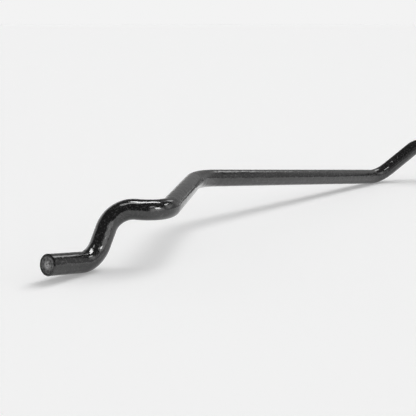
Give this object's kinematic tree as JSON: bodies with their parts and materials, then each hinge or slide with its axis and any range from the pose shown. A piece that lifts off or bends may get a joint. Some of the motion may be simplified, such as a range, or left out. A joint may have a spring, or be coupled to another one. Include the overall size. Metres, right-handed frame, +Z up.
{
  "type": "sway bar",
  "caption": "Round steel sway bar with a straight centre section and a stepped arm at each side, each arm ending in a short plain stub for a rubber bush.",
  "frame": {"origin": "on the surface the bar rests on, under the middle of its bounding box", "axes": "+X along the centre section towards the right arm, +Y from the arm tips towards the centre section, +Z up"},
  "size_m": [1.0878, 0.5362, 0.0509],
  "materials": {
    "black_lacquer": "gloss black lacquer with a fine grain",
    "end_face": "thinly lacquered sawn steel, dark grey and mottled",
    "ring_coat": "dull zinc plate on a pressed steel band"
  },
  "bodies": {
    "root": {"bar_tube": "black_lacquer", "left_end_plug": "end_face", "right_end_plug": "end_face", "left_stop_ring": "ring_coat", "right_stop_ring": "ring_coat"}
  },
  "joints": []
}
